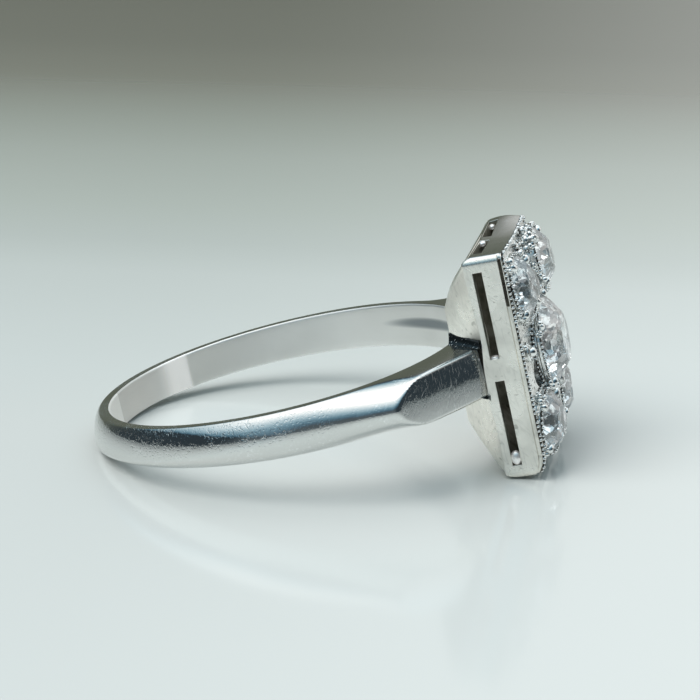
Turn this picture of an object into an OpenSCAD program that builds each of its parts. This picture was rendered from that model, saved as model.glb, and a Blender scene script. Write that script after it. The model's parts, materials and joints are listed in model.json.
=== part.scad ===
// Plaque ring with a rectangular pierced head, five round stones and a tapered shank.
// It is built upright in its own axes: X points to the front of the head, Y runs across the
// head and Z is the axis of the finger hole. At the end it is laid on its side, at rest.

/* [Shank] */
// Radius of the finger hole
finger_r = 8.6; // [7.5:0.1:10.5]
// Width of the shank at the back
back_w = 1.66; // [1.4:0.02:2.2]
// Width of the shank where it meets the head
shoulder_w = 2.32; // [2.2:0.02:2.8]
// Thickness of the shank in the middle of its back
shank_t = 0.9; // [0.7:0.05:1.2]
// Radius of the domed outside of the shank
dome_r = 1.3; // [1.2:0.05:1.6]
// How much thicker the shank grows by its side
swell = 0.15; // [0:0.05:0.3]

/* [Shoulders] */
// Distance of the flat shoulder facet from the middle of the finger hole
facet_d = 10.42; // [10.4:0.02:10.5]
// Angle of the facet's normal from the front of the ring
facet_angle = 35.5; // [34:0.5:38]
// Start of the facet's straight edges, as an angle round the finger hole
facet_start = 48; // [46:0.5:49]
// End of the facet, as an angle round the finger hole
facet_end = 23; // [22:1:25]
// Angle round the finger hole where the outside leaves its circle
leave_angle = 78.5; // [76:0.5:80]
// Bevel along the edges of the facet
facet_bevel = 0.18; // [0.1:0.02:0.26]

/* [Head] */
// Length of the head along the finger
head_l = 10.44; // [9.6:0.04:11.2]
// Width of the head across the finger
head_w = 8; // [7.6:0.1:8.6]
// Distance of the front rim from the middle of the finger hole
rim_x = 11.79; // [11.6:0.01:12]
// Height of the head's side walls
wall_h = 1.84; // [1.7:0.02:2]
// Thickness of the side walls
wall_t = 0.5; // [0.4:0.05:0.6]
// Rounding of the head's lower and rear edges
edge_r = 0.42; // [0.3:0.02:0.5]
// Rounding of the upright corners
corner_r = 0.34; // [0.2:0.02:0.45]
// Height of the domed plate above the rim
dome_h = 0.52; // [0.4:0.02:0.6]

/* [Pierced walls] */
// Width of the slots
slot_w = 0.42; // [0.3:0.02:0.5]
// Distance from the front rim to the slots
slot_drop = 1.04; // [0.95:0.01:1.1]
// Length of the slots in the long walls
long_slot = 4.0; // [3.4:0.1:4.2]
// Length of the slots in the short walls
short_slot = 2.7; // [2.2:0.1:2.9]
// Width of the bar between two slots
slot_bar = 1.06; // [0.8:0.02:1.3]

/* [Under-gallery] */
// Half width of the gallery where it meets the finger hole
gallery_y = 2.0; // [1.8:0.1:2.4]
// Half length of the gallery where it meets the finger hole
gallery_z = 2.8; // [2.6:0.1:3]
// Thickness of the gallery's walls
gallery_t = 0.55; // [0.45:0.05:0.65]

/* [Pierced plate] */
// Width of the flat rim round the domed plate
rim_w = 0.28; // [0.2:0.02:0.36]
// Thickness of the plate at the rim
plate_t = 0.7; // [0.6:0.05:0.8]
// Width of the pierced crescents beside the middle stone
crescent_w = 0.36; // [0.26:0.02:0.4]
// Length of the slots at the ends of the ridge
ridge_slot = 0.9; // [0.6:0.1:1.1]

/* [Stones] */
// Radius of the middle stone
centre_r = 2.15; // [2:0.05:2.25]
// Height of the middle stone's girdle above the rim
centre_lift = 0.62; // [0.56:0.02:0.8]
// Radius of the corner stones
corner_stone_r = 1.42; // [1.3:0.02:1.46]
// Distance of the corner stones from the middle, across the finger
corner_stone_y = 2.32; // [2.25:0.01:2.4]
// Distance of the corner stones from the middle, along the finger
corner_stone_z = 3.2; // [3.1:0.05:3.3]
// Height of the corner stones' girdles above the rim
corner_lift = 0.36; // [0.3:0.02:0.42]
// Extra height of the upper stone on the far side
far_lift = 0.3; // [0.1:0.02:0.32]
// Shift of both far stones along the finger, as they are set by hand
far_shift = 0.26; // [0:0.02:0.3]
// Outward lean of the corner stones
stone_lean = 9; // [6:1:12]
// Gap between a stone and its seat
seat_gap = 0.03; // [0.02:0.01:0.05]

/* [Hidden] */

$fn = 64;
metal_colour = [0.80, 0.81, 0.81];
stone_colour = [0.90, 0.95, 0.98];
// longer than the whole ring, for cuts that go right through
cut_reach = 30;
// how far one soldered piece runs into the next
bite = 0.2;
// a small step that keeps two faces from lying in one plane
step_off = 0.02;

// shank section: a circle of dome_r swept round the finger, cut by the bore and two side planes
ring_r = finger_r + shank_t - dome_r + swell;
heel_x = swell - ring_r - sqrt(dome_r * dome_r - back_w * back_w / 4);
side_slope = (shoulder_w - back_w) / 2 / (finger_r - heel_x);

// head
half_l = head_l / 2;
half_w = head_w / 2;
wall_x = rim_x - wall_h;
inner_y = half_w - wall_t;
inner_z = half_l - wall_t;
cavity_top = rim_x - plate_t;
slot_x = rim_x - slot_drop - slot_w;
short_bar = 0.66 * slot_bar;

// under-gallery, as [from the finger's axis, half width, half length] at both its ends
gallery_x = sqrt(finger_r * finger_r - gallery_y * gallery_y);
gallery_foot = [gallery_x, gallery_y, gallery_z];
gallery_mouth = [wall_x + bite, half_w - step_off, half_l - edge_r / 2];
hollow_foot = [gallery_x, gallery_y - gallery_t, gallery_z - gallery_t];
hollow_mouth = [wall_x + step_off, inner_y, inner_z];

// domed plate: the flat top of its low hipped roof
roof_y = centre_r - 0.7;
roof_z = centre_r - 0.2;

// stones, one row each: across, along, height above the rim, radius, lean across, lean along
centre_row = [0, 0, centre_lift, centre_r, 0, 0];
function corner_row(across, along, lift, shift) =
    [across * corner_stone_y, along * corner_stone_z + shift, lift, corner_stone_r,
     across * stone_lean, along * stone_lean / 2];
upper_near = corner_row(-1, 1, corner_lift, 0);
upper_far = corner_row(1, 1, corner_lift + far_lift, far_shift);
lower_near = corner_row(-1, -1, corner_lift, 0);
lower_far = corner_row(1, -1, corner_lift, far_shift);
corner_rows = [upper_near, upper_far, lower_near, lower_far];
all_rows = concat([centre_row], corner_rows);

// proportions of an old cut, as shares of the stone's radius
girdle_share = 0.05;
crown_share = 0.4;
table_share = 0.5;
star_share = 0.74;
star_rise = 0.62;
pavilion_share = 0.84;
culet_share = 0.09;
facets = 16;

// collets, beads and prongs
centre_collet = centre_r + 0.26;
corner_collet = corner_stone_r + 0.18;
collet_deep = 0.5;
collet_lip = 0.03;
prong_r = 0.24;
prong_up = 0.1;
bead_r = 0.2;
bead_out = 0.12;
bead_turn = 9;
side_bead_r = 0.26;
side_bead_y = half_w - 0.88;
side_bead_up = 0.22;

// seats: how fast they narrow above the girdle, and the open back's share of the radius
crown_draw = 0.35;
open_back = 0.55;
back_start = 0.45;

// pierced crescents: inner radius, and the angles where they start and end
crescent_r = centre_collet + 0.06;
crescent_from = 13;
crescent_to = 34;
ridge_slot_w = 0.26;
ridge_slot_y = 0.62;
ridge_slot_z = half_l - rim_w - ridge_slot / 2 - 0.59;

// lying at rest on the heel of the shank and the lower rear edge of the head
foot = [wall_x + edge_r, -half_l + edge_r];
heel = [heel_x, -back_w / 2];
stance = foot - heel;
tilt = asin(edge_r / norm(stance)) + atan2(-stance.y, stance.x);
rest_z = -(heel.x * sin(tilt) + heel.y * cos(tilt));
back_reach = (swell - ring_r) * cos(tilt) - dome_r;
// the lower corner stones' tables reach furthest forward
low_lean = stone_lean / 2;
table_r = table_share * corner_stone_r;
table_up = crown_share * corner_stone_r;
table_x = rim_x + corner_lift + table_up * cos(low_lean) * cos(stone_lean);
front_reach = forward([table_x, -corner_stone_z - table_up * sin(low_lean)]) + table_r * sin(tilt);
rest_x = -(back_reach + front_reach) / 2;

function forward(p) = p.x * cos(tilt) - p.y * sin(tilt);
function half_width(x) = back_w / 2 + side_slope * (x - heel_x);

module at_rest() {
    translate([rest_x, 0, rest_z])
        rotate([0, -tilt, 0])
            children();
}

// puts a piece that is drawn upright on Z at a stone's place on the front of the head
module at_stone(row) {
    translate([rim_x + row[2], row[0], row[1]])
        rotate([0, 0, row[4]])
            rotate([0, 90 - row[5], 0])
                children();
}

// a block between the two sloping side planes of the shank
module shank_block() {
    near = heel_x - bite;
    far = rim_x;
    rotate([90, 0, 0])
        linear_extrude(cut_reach, center = true)
            polygon([
                [near, -half_width(near)], [far, -half_width(far)],
                [far, half_width(far)], [near, half_width(near)]
            ]);
}

module shank() {
    intersection() {
        translate([swell, 0, 0])
            rotate_extrude($fn = 128)
                translate([ring_r, 0])
                    circle(dome_r);
        shank_block();
    }
}

// plan of one shoulder, from the facet's straight edges into the wall of the head
function on_facet(a) = facet_d / cos(a - facet_angle) * [cos(a), -sin(a)];
module shoulder_plan() {
    start = on_facet(facet_start);
    inward = [-cos(facet_angle), sin(facet_angle)];
    into_wall = wall_x + 1.5 * bite;
    beside_hollow = gallery_t - gallery_y;
    polygon([
        start, on_facet(facet_end), [into_wall, -half_w + bite], [into_wall, beside_hollow],
        [gallery_x - bite, beside_hollow], start + (facet_d - finger_r + 3 * bite) * inward
    ]);
}

// the domed shank leaves its circle here and runs straight on through the facet
module straight_stretch() {
    run = ring_r * tan(leave_angle - facet_start) + 2 * bite;
    translate([swell, 0, 0])
        rotate([0, 0, -leave_angle])
            translate([ring_r, 0, 0])
                rotate([-90, 0, 0])
                    cylinder(h = run, r = dome_r);
}

module shoulder() {
    intersection() {
        union() {
            straight_stretch();
            linear_extrude(2 * shoulder_w, center = true)
                shoulder_plan();
        }
        below_facet();
        shank_block();
    }
}

// all that lies below the facet and between its bevelled edges
module below_facet() {
    half = half_width(finger_r) + step_off;
    deep = facet_d;
    rotate([0, 0, -facet_angle])
        translate([facet_d, 0, 0])
            rotate([90, 0, 0])
                linear_extrude(cut_reach, center = true)
                    polygon([
                        [0, half - facet_bevel], [-facet_bevel, half], [-deep, half],
                        [-deep, -half], [-facet_bevel, -half], [0, -half + facet_bevel]
                    ]);
}

// rectangle in the plane of a head wall, with its corners rounded
module rounded(w, l, r) {
    square([w - 2 * r, l], center = true);
    square([w, l - 2 * r], center = true);
    for (sx = [-1, 1], sy = [-1, 1])
        translate([sx * (w / 2 - r), sy * (l / 2 - r)])
            circle(r, $fn = 32);
}

// stands a flat outline, drawn across and along the head, on the plane x = from
module front_plate(from, to) {
    translate([from, 0, 0])
        rotate([90, 0, 90])
            linear_extrude(to - from)
                children();
}

// side outline of the head: sharp at the front, rounded at the rear
module head_side() {
    polygon([
        [wall_x + edge_r, -half_l], [rim_x, -half_l], [rim_x, half_l], [wall_x + edge_r, half_l]
    ]);
    translate([wall_x, -half_l + edge_r])
        square([wall_h, head_l - 2 * edge_r]);
    for (s = [-1, 1])
        translate([wall_x + edge_r, s * (half_l - edge_r)])
            circle(edge_r, $fn = 48);
}

module box_head() {
    intersection() {
        front_plate(wall_x, rim_x)
            rounded(head_w, head_l, corner_r);
        rotate([90, 0, 0])
            linear_extrude(cut_reach, center = true)
                head_side();
        // the lower front edge is eased too
        front_edge_ease();
    }
}

module front_edge_ease() {
    ease = 0.7 * edge_r;
    rotate([90, 0, 0])
        linear_extrude(cut_reach, center = true)
            polygon([
                [0, -half_l - 1], [rim_x - ease, -half_l - 1], [rim_x - ease, -half_l],
                [rim_x, -half_l + ease], [rim_x, half_l + 1], [0, half_l + 1]
            ]);
}

// a block that tapers across and along, from one size to another: [x, half width, half length]
module tapered(a, b) {
    intersection() {
        linear_extrude(cut_reach, center = true)
            polygon([[a.x, -a.y], [b.x, -b.y], [b.x, b.y], [a.x, a.y]]);
        rotate([90, 0, 0])
            linear_extrude(cut_reach, center = true)
                polygon([[a.x, -a.z], [b.x, -b.z], [b.x, b.z], [a.x, a.z]]);
    }
}

// the same taper from a to b, run on past a as far as x
function run_on(x, a, b) = a + (b - a) * (x - a.x) / (b.x - a.x);

module under_gallery() {
    tapered(run_on(gallery_x - bite, gallery_foot, gallery_mouth), gallery_mouth);
}

// domed plate, as a low hipped roof inside the rim
module domed_plate() {
    tapered([rim_x, half_w - rim_w, half_l - rim_w], [rim_x + dome_h, roof_y, roof_z]);
}

module collets() {
    // the middle stone's collet stands proud of the plate
    front_plate(rim_x - collet_deep, rim_x + centre_lift + collet_lip)
        circle(centre_collet);
    for (row = corner_rows)
        at_stone(row)
            translate([0, 0, -collet_deep])
                cylinder(h = collet_deep + collet_lip, r = corner_collet);
}

// a grain of metal beside a stone, at an angle round it, so far out and so far up
module grain(angle, out, up, r) {
    rotate([0, 0, angle])
        translate([out, 0, up])
            sphere(r, $fn = 24);
}

module beads() {
    // four prongs hold the middle stone, each with two smaller beads beside it
    at_stone(centre_row)
        for (a = [0 : 90 : 270]) {
            grain(a, centre_r + step_off, prong_up, prong_r);
            for (side = [-1, 1])
                grain(a + side * bead_turn, centre_r + bead_out, step_off, bead_r);
        }
    for (row = corner_rows)
        at_stone(row)
            for (a = [45 : 90 : 315])
                grain(a, row[3] + step_off, collet_lip, bead_r);
    // one round bead in the middle of each long side
    for (s = [-1, 1])
        translate([rim_x + side_bead_up, s * side_bead_y, 0])
            sphere(side_bead_r, $fn = 24);
}

module stone_seats() {
    for (row = all_rows)
        at_stone(row) {
            r = row[3] + seat_gap;
            crown = crown_share * row[3];
            girdle = girdle_share * row[3];
            deep = pavilion_share * row[3];
            // room above the girdle, narrowing as the crown does
            cylinder(h = crown + bite, r1 = r, r2 = r - crown_draw * crown);
            translate([0, 0, -girdle - seat_gap])
                cylinder(h = girdle + 2 * seat_gap, r = r);
            translate([0, 0, -girdle - seat_gap - deep])
                cylinder(h = deep, r1 = culet_share * row[3] + seat_gap, r2 = r);
            // open back behind the stone
            translate([0, 0, -2 * deep])
                cylinder(h = (2 - back_start) * deep, r = open_back * row[3]);
        }
}

// pierced crescents round the middle collet, and short slots beside the ridge
module piercings() {
    front_plate(cavity_top - bite, rim_x + 1)
        for (s = [-1, 1], t = [-1, 1]) {
            mirror([(1 - s) / 2, 0])
                mirror([0, (1 - t) / 2])
                    crescent();
            translate([s * ridge_slot_y, t * ridge_slot_z])
                rounded(ridge_slot_w, ridge_slot, 0.45 * ridge_slot_w);
        }
}

module crescent() {
    reach = 2 * crescent_r;
    intersection() {
        difference() {
            circle(crescent_r + crescent_w);
            circle(crescent_r);
        }
        polygon([
            [0, 0], reach * [cos(crescent_from), sin(crescent_from)],
            reach * [cos(crescent_to), sin(crescent_to)]
        ]);
    }
}

// hollow of the head, open to the finger hole
module cavity() {
    front_plate(wall_x, cavity_top)
        rounded(2 * inner_y, 2 * inner_z, corner_r);
    tapered(run_on(gallery_x - 2 * bite, hollow_foot, hollow_mouth), hollow_mouth);
}

module wall_slots() {
    long_mid = (slot_bar + long_slot) / 2;
    short_mid = (short_bar + short_slot) / 2;
    for (t = [-1, 1]) {
        translate([slot_x, -half_w - 1, t * long_mid - long_slot / 2])
            cube([slot_w, head_w + 2, long_slot]);
        translate([slot_x, t * short_mid - short_slot / 2, -half_l - 1])
            cube([slot_w, short_slot, head_l + 2]);
    }
}

module shank_and_setting() {
    color(metal_colour)
        at_rest()
            difference() {
                union() {
                    shank();
                    for (s = [0, 1])
                        mirror([0, s, 0])
                            shoulder();
                    difference() {
                        union() {
                            box_head();
                            under_gallery();
                            domed_plate();
                            collets();
                        }
                        piercings();
                    }
                    beads();
                }
                cavity();
                stone_seats();
                wall_slots();
                cylinder(h = cut_reach, r = finger_r, center = true, $fn = 128);
            }
}

// a ring of points, and an old cut as rings of points joined by facets
function ring_points(r, z, n, turn) =
    [for (i = [0 : n - 1]) r * [cos(360 * i / n + turn), sin(360 * i / n + turn), z / r]];

module old_cut(r) {
    up = crown_share * r;
    down = -girdle_share * r;
    deep = down - pavilion_share * r;
    half = facets / 2;
    turn = 180 / half;
    points = concat(
        ring_points(table_share * r, up, half, 0),
        ring_points(star_share * r, up * star_rise, half, turn),
        ring_points(r, 0, facets, 0),
        ring_points(r, down, facets, 0),
        ring_points(culet_share * r, deep, half, 0)
    );
    star = half;
    girdle = 2 * half;
    under = girdle + facets;
    culet = under + facets;
    faces = concat(
        [[for (i = [half - 1 : -1 : 0]) i]],
        [for (i = [0 : half - 1]) [i, (i + 1) % half, star + i]],
        [for (i = [0 : half - 1]) [i, star + i, girdle + 2 * i]],
        [for (i = [0 : half - 1]) [i, girdle + 2 * i, star + (i + half - 1) % half]],
        [for (i = [0 : half - 1]) [star + i, girdle + 2 * i + 1, girdle + 2 * i]],
        [for (i = [0 : half - 1]) [star + i, girdle + (2 * i + 2) % facets, girdle + 2 * i + 1]],
        [for (i = [0 : facets - 1]) [girdle + i, girdle + (i + 1) % facets, under + i]],
        [for (i = [0 : facets - 1]) [girdle + (i + 1) % facets, under + (i + 1) % facets, under + i]],
        [for (i = [0 : half - 1]) [under + 2 * i, under + 2 * i + 1, culet + i]],
        [for (i = [0 : half - 1]) [under + 2 * i + 1, under + (2 * i + 2) % facets, culet + (i + 1) % half]],
        [for (i = [0 : half - 1]) [under + 2 * i + 1, culet + (i + 1) % half, culet + i]],
        [[for (i = [0 : half - 1]) culet + i]]
    );
    polyhedron(points, faces);
}

module stone(row) {
    color(stone_colour)
        at_rest()
            at_stone(row)
                old_cut(row[3]);
}

module centre_stone() { stone(centre_row); }
module upper_near_stone() { stone(upper_near); }
module upper_far_stone() { stone(upper_far); }
module lower_near_stone() { stone(lower_near); }
module lower_far_stone() { stone(lower_far); }

shank_and_setting();
centre_stone();
upper_near_stone();
upper_far_stone();
lower_near_stone();
lower_far_stone();
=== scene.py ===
import bmesh
import bpy
import json
import random
from math import atan2, ceil, cos, degrees, hypot, pi, radians, sin, sqrt, tan
from mathutils import Matrix, Vector


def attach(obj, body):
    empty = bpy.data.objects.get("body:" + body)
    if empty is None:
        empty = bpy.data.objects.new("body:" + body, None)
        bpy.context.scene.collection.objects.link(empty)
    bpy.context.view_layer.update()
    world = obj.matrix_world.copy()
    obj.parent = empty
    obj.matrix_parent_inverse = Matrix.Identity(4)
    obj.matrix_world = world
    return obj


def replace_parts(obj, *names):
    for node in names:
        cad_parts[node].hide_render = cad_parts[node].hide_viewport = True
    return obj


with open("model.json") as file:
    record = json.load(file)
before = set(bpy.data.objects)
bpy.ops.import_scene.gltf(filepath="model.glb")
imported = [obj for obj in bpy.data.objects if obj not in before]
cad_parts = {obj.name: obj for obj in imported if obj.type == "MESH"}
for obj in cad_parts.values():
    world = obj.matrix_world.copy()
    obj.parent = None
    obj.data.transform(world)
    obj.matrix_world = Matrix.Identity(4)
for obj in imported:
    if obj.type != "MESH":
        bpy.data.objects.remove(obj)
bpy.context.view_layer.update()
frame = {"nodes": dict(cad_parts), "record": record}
print("frame loaded:", sorted(frame["nodes"]))

# Lengths below are in millimetres in the ring's own axes: x to the front of the head,
# y across it, z along the finger. ringPlace turns them into metres where the ring lies.
mm = 0.001
fingerHole = frame["record"]["mounts"][0]
fingerAxis = Vector(fingerHole["axis"])
ringAxes = Matrix((Vector((fingerAxis.z, 0, -fingerAxis.x)), Vector((0, 1, 0)), fingerAxis))
ringPlace = Matrix.Translation(fingerHole["pos_m"]) @ ringAxes.transposed().to_4x4() @ Matrix.Scale(mm, 4)


def maths(operation, reflected=False):
    # an operator of Value, which adds a maths node; the reflected form has the number on its left
    def apply(value, other):
        first, second = (other, value) if reflected else (value, other)
        return value.paint.node("Math", {"operation": operation}, {0: first, 1: second})[0]
    return apply


class Value:
    # a shader socket that can be used in sums
    def __init__(self, paint, socket):
        self.paint = paint
        self.socket = socket

    __add__ = maths("ADD")
    __radd__ = maths("ADD", True)
    __sub__ = maths("SUBTRACT")
    __rsub__ = maths("SUBTRACT", True)
    __mul__ = maths("MULTIPLY")
    __rmul__ = maths("MULTIPLY", True)
    __truediv__ = maths("DIVIDE")
    __pow__ = maths("POWER")
    __gt__ = maths("GREATER_THAN")


class Paint:
    # the nodes of one material or of the world
    def __init__(self, owner):
        owner.use_nodes = True
        self.owner = owner
        self.tree = owner.node_tree
        self.tree.nodes.clear()

    def node(self, kind, settings=None, inputs=None):
        # makes a node with its settings, then sets or links its sockets, and gives its outputs
        made = self.tree.nodes.new("ShaderNode" + kind)
        for name, value in (settings or {}).items():
            if name == "stops":
                ramp = made.color_ramp
                ends = [ramp.elements[0], ramp.elements[-1]]
                for stop, (place, colour) in zip(ends, (value[0], value[-1])):
                    stop.position = place
                    stop.color = (*colour, 1)
                for place, colour in value[1:-1]:
                    ramp.elements.new(place).color = (*colour, 1)
            else:
                setattr(made, name, value)
        for name, value in (inputs or {}).items():
            if isinstance(value, Value):
                self.tree.links.new(value.socket, made.inputs[name])
            elif value is not None:
                made.inputs[name].default_value = value
        return [Value(self, out) for out in made.outputs]

    def surface(self, inputs):
        body = self.node("BsdfPrincipled", None, inputs)[0]
        self.node("OutputMaterial", None, {"Surface": body})
        return self.owner

    def metal(self, colour, rough, normal, metallic=1.0, light=None, paintedGlow=0.0):
        # light and glow make the surface glow: painted light
        return self.surface({
            "Base Color": colour, "Metallic": metallic, "Roughness": rough, "Normal": normal,
            "Emission Color": light, "Emission Strength": paintedGlow})

    def place(self):
        return self.node("TexCoord")[3]

    def split(self, vector):
        return self.node("SeparateXYZ", None, {0: vector})

    def vector(self, operation, first, second):
        # a scale takes its number at another socket, and a product of two vectors is a number
        at = 3 if operation == "SCALE" else 1
        made = self.node("VectorMath", {"operation": operation}, {0: first, at: second})
        return made[operation == "DOT_PRODUCT"]

    def noise(self, scale, detail, roughness, place=None):
        # the scale is one number, or one for each way; the higher, the finer
        scales = scale if isinstance(scale, tuple) else (scale,) * 3
        spread = self.vector("MULTIPLY", place or self.place(), scales)
        return self.node("TexNoise", None, {
            "Vector": spread, "Scale": 1.0, "Detail": detail, "Roughness": roughness})[0]

    def peaks(self, scale, detail, roughness, low, high):
        # what of a noise rises above low; it is full from high on
        return self.levels(self.noise(scale, detail, roughness), low, high)

    def dashes(self, scale, turn, low, high):
        # short straight scratches: a noise stretched along one way, of which only the peaks are kept
        inputs = {"Vector": self.place(), "Rotation": turn}
        turned = self.node("VectorRotate", {"rotation_type": "EULER_XYZ"}, inputs)[0]
        return self.levels(self.noise(scale, 0.0, 0.5, turned), low, high)

    def ramp(self, value, stops):
        return self.node("ValToRGB", {"stops": stops}, {0: value})[0]

    def levels(self, value, low, high, start=0.0, end=1.0, kind="LINEAR"):
        return self.node("MapRange", {"interpolation_type": kind}, {
            "Value": value, "From Min": low, "From Max": high, "To Min": start, "To Max": end})[0]

    def ease(self, value, low, high, start=0.0, end=1.0):
        return self.levels(value, low, high, start, end, "SMOOTHSTEP")

    def mix(self, share, first, second):
        return self.node("Mix", {"data_type": "RGBA"}, {0: share, 6: first, 7: second})[2]

    def bump(self, height, strength, distance, normal=None):
        return self.node("Bump", None, {
            "Height": height, "Strength": strength, "Distance": distance, "Normal": normal})[0]


metalLook = dict(bright=(0.94, 0.95, 0.94, 1), dull=(0.62, 0.60, 0.545, 1))

# a noise: scale, detail and roughness; specks and dents: also where they begin and are full
# scratches: scale each way, turn, and where they begin and are full
shankLook = dict(
    colour=(0.72, 0.72, 0.70, 1), polish=0.06, scratched=0.24, clouds=(420.0, 3.0, 0.6),
    waves=(1500.0, 2.0, 0.5), specks=(9500.0, 2.0, 0.5, 0.62, 0.72), dents=(8800.0, 2.0, 0.55, 0.54, 0.66),
    upright=((15000.0, 15000.0, 2600.0), (0.0, 0.22, 0.0), 0.63, 0.72),
    leaning=((12000.0, 12000.0, 2200.0), (0.5, -0.3, 0.4), 0.64, 0.72),
    along=((2600.0, 9000.0, 12000.0), (0.2, 0.1, 0.5), 0.66, 0.74),
    # in metres along x: where the shoulders begin, and where the dents end
    shoulder=(0.0048, 0.0062), dented=(0.0022, 0.0034),
    # strength and depth of the bumps
    wavy=(0.18, 0.00004), dent=(0.6, -0.000009), scratch=(0.5, -0.000008))


def scratchedPlatinum():
    # the shank: polished once, now scratched, above all on its flat shoulders
    paint = Paint(bpy.data.materials.new("scratchedPlatinum"))
    x = paint.split(paint.place())[0]
    shoulder = paint.ease(x, *shankLook["shoulder"])
    cloud = paint.noise(*shankLook["clouds"])
    wear = paint.ease(cloud, 0.38, 0.62, 0.15, 1.0) * (0.5 - shoulder * 0.2) + shoulder * 0.14
    upright = paint.dashes(*shankLook["upright"])
    leaning = paint.dashes(*shankLook["leaning"])
    along = paint.dashes(*shankLook["along"])
    specks = paint.peaks(*shankLook["specks"])
    marks = upright * (0.25 + shoulder * 0.75) + leaning * 0.5 + along * (0.7 - shoulder * 0.5)
    marks = (marks + specks * (0.85 - shoulder * 0.65)) * wear
    dents = paint.peaks(*shankLook["dents"])
    dents = dents * paint.ease(x, *shankLook["dented"], 1.0, 0.08) * paint.ease(cloud, 0.36, 0.56, 0.25, 1.0)
    normal = paint.bump(paint.noise(*shankLook["waves"]), *shankLook["wavy"])
    normal = paint.bump(dents, *shankLook["dent"], normal)
    normal = paint.bump(marks, *shankLook["scratch"], normal)
    # the scratches and specks are real marks; their lighter colour is a painted glint
    shade = paint.mix(marks, shankLook["colour"], metalLook["bright"])
    return paint.metal(shade, shankLook["polish"] + marks * shankLook["scratched"], normal)


boreLook = dict(
    colour=(0.90, 0.89, 0.86, 1), dull=(0.83, 0.82, 0.785, 1), joint=(1.0, 0.97, 0.945, 1),
    hollow=(0.34, 0.36, 0.37, 1), darkerPastJoint=(0.46, 0.45, 0.42, 1), light=(1.0, 0.97, 0.93, 1), paintedGlow=0.17,
    faintPaintedGlow=0.2, clouds=(260.0, 2.0, 0.5), relief=(0.12, -0.000003),
    lines=((900.0, 900.0, 16000.0), (0.0, -0.22, 0.0), 0.58, 0.72),
    # the joint and the hollow's painted shade slant; their places, and how soft the joint's edges are, in
    # metres
    slant=0.225, joinedFrom=-0.00928, joinedTo=-0.0082, soft=(0.0007, 0.0002), darkerPastJointEdge=(0.0006, 0.0004),
    hollowAt=(0.0038, 0.00426), hollowSize=(0.0028, 0.00034))


def borePlatinum():
    # the inside of the band, rubbed smooth by the finger, with a pale joint, a painted shade by the head, and
    # a faint painted glow that is strongest at the joint
    paint = Paint(bpy.data.materials.new("borePlatinum"))
    x, y, z = paint.split(paint.place())
    cloud = paint.noise(*boreLook["clouds"])
    around = paint.dashes(*boreLook["lines"])
    far = y > 0
    slant = x + z * boreLook["slant"]
    start, end = boreLook["joinedFrom"], boreLook["joinedTo"]
    softStart, softEnd = boreLook["soft"]
    joint = paint.ease(slant, start, start + softStart)
    joint = joint * paint.ease(slant, end, end + softEnd, 1.0, 0.0) * far
    # painted shade: a dark oval on the far bore by the head
    (atX, atZ), (long, wide) = boreLook["hollowAt"], boreLook["hollowSize"]
    along = (x - atX) / long
    across = (z - (x - atX) * boreLook["slant"] - atZ) / wide
    hollow = paint.ease(along ** 2.0 + across ** 2.0, 0.1, 1.1, 1.0, 0.0) * far
    # the bore is darker beyond the joint, away from the head
    darkerLow, darkerHigh = boreLook["darkerPastJointEdge"]
    below = paint.ease(slant, start - darkerLow, start + darkerHigh, 1.0, 0.0) * far
    shade = paint.mix(paint.levels(cloud, 0.35, 0.65), boreLook["colour"], boreLook["dull"])
    shade = paint.mix(below * 0.5, shade, boreLook["darkerPastJoint"])
    shade = paint.mix(joint, shade, boreLook["joint"])
    shade = paint.mix(hollow, shade, boreLook["hollow"])
    rough = 0.46 + paint.levels(cloud, 0.35, 0.7) * 0.08 + around * 0.05 + joint * 0.2
    # painted light: the whole bore glows faintly, the joint fully, and less where the painted shade lies
    light = paint.mix(joint + boreLook["faintPaintedGlow"] * (1 - hollow), (0, 0, 0, 1), boreLook["light"])
    return paint.metal(shade, rough, paint.bump(around, *boreLook["relief"]), light=light,
                       paintedGlow=boreLook["paintedGlow"])


# the solder blobs glow a little: painted light
satinLook = dict(
    walls=(0.96, 0.925, 0.85, 1), wallRough=0.24, blob=(1.0, 0.99, 0.975, 1), blobRough=0.26, blobPaintedGlow=0.12,
    grain=(5200.0, 3.0, 0.6), clouds=(650.0, 4.0, 0.6), pits=(3000.0, 1.0, 0.5, 0.66, 0.76),
    upright=((9000.0, 9000.0, 1500.0), (0.0, 0.3, 0.0), 0.62, 0.72),
    slanting=((11000.0, 9000.0, 1800.0), (0.2, 0.9, 0.0), 0.64, 0.73), relief=(0.22, 0.000014))


def satinPlatinum(colour, smoothness, paintedGlow=0.0):
    # the walls of the head and the solder blobs: satin, with pits and scattered scratches; the blobs' glow is
    # painted light
    paint = Paint(bpy.data.materials.new("satinPlatinum"))
    grain = paint.noise(*satinLook["grain"])
    upright = paint.dashes(*satinLook["upright"])
    slanting = paint.dashes(*satinLook["slanting"])
    cloud = paint.noise(*satinLook["clouds"])
    pitted = paint.peaks(*satinLook["pits"])
    height = grain * 0.4 - pitted * 1.8 - upright * 0.5 - slanting * 0.4
    dirt = paint.levels(cloud, 0.42, 0.72) * 0.5 + pitted * 0.9 + (upright + slanting) * 0.2
    rough = smoothness + paint.levels(cloud, 0.35, 0.7) * 0.14
    normal = paint.bump(height, *satinLook["relief"])
    shade = paint.mix(dirt, colour, metalLook["dull"])
    return paint.metal(shade, rough, normal, light=(1, 1, 1, 1), paintedGlow=paintedGlow)


plateLook = dict(
    colour=(0.93, 0.93, 0.91, 1), specked=(0.12, 0.11, 0.095, 1), grain=(6500.0, 3.0, 0.6),
    clouds=(1300.0, 3.0, 0.6), specks=(7000.0, 2.0, 0.5, 0.62, 0.68),
    tooled=((4200.0, 9500.0, 9500.0), (0.6, 0.2, 0.3), 0.60, 0.70), relief=(0.3, 0.00002))


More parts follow.
